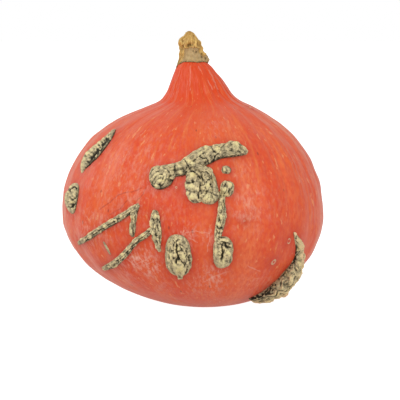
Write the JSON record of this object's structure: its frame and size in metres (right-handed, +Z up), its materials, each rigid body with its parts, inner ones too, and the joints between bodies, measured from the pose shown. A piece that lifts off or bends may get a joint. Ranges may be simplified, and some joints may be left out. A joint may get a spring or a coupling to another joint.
{
  "type": "red kuri squash",
  "caption": "Teardrop-shaped orange-red winter squash with raised grey-tan cork scars and a dried corky stem, standing on its small flat spot.",
  "frame": {"origin": "on the floor under the middle of the squash's bounding box", "axes": "+Z up along the fruit's upright axis toward the stem; +X to the right and -Y toward the viewer when the scarred side is seen from the front"},
  "size_m": [0.1706, 0.1728, 0.1776],
  "materials": {
    "skin": "waxy satin rind, orange-red with fine pale flecks; the raised scars are dull grey-tan cork",
    "stem": "dull dried cork and fibre, straw gold above and grey-tan below"
  },
  "bodies": {
    "root": {"fruit": "skin", "stem": "stem"}
  },
  "joints": []
}
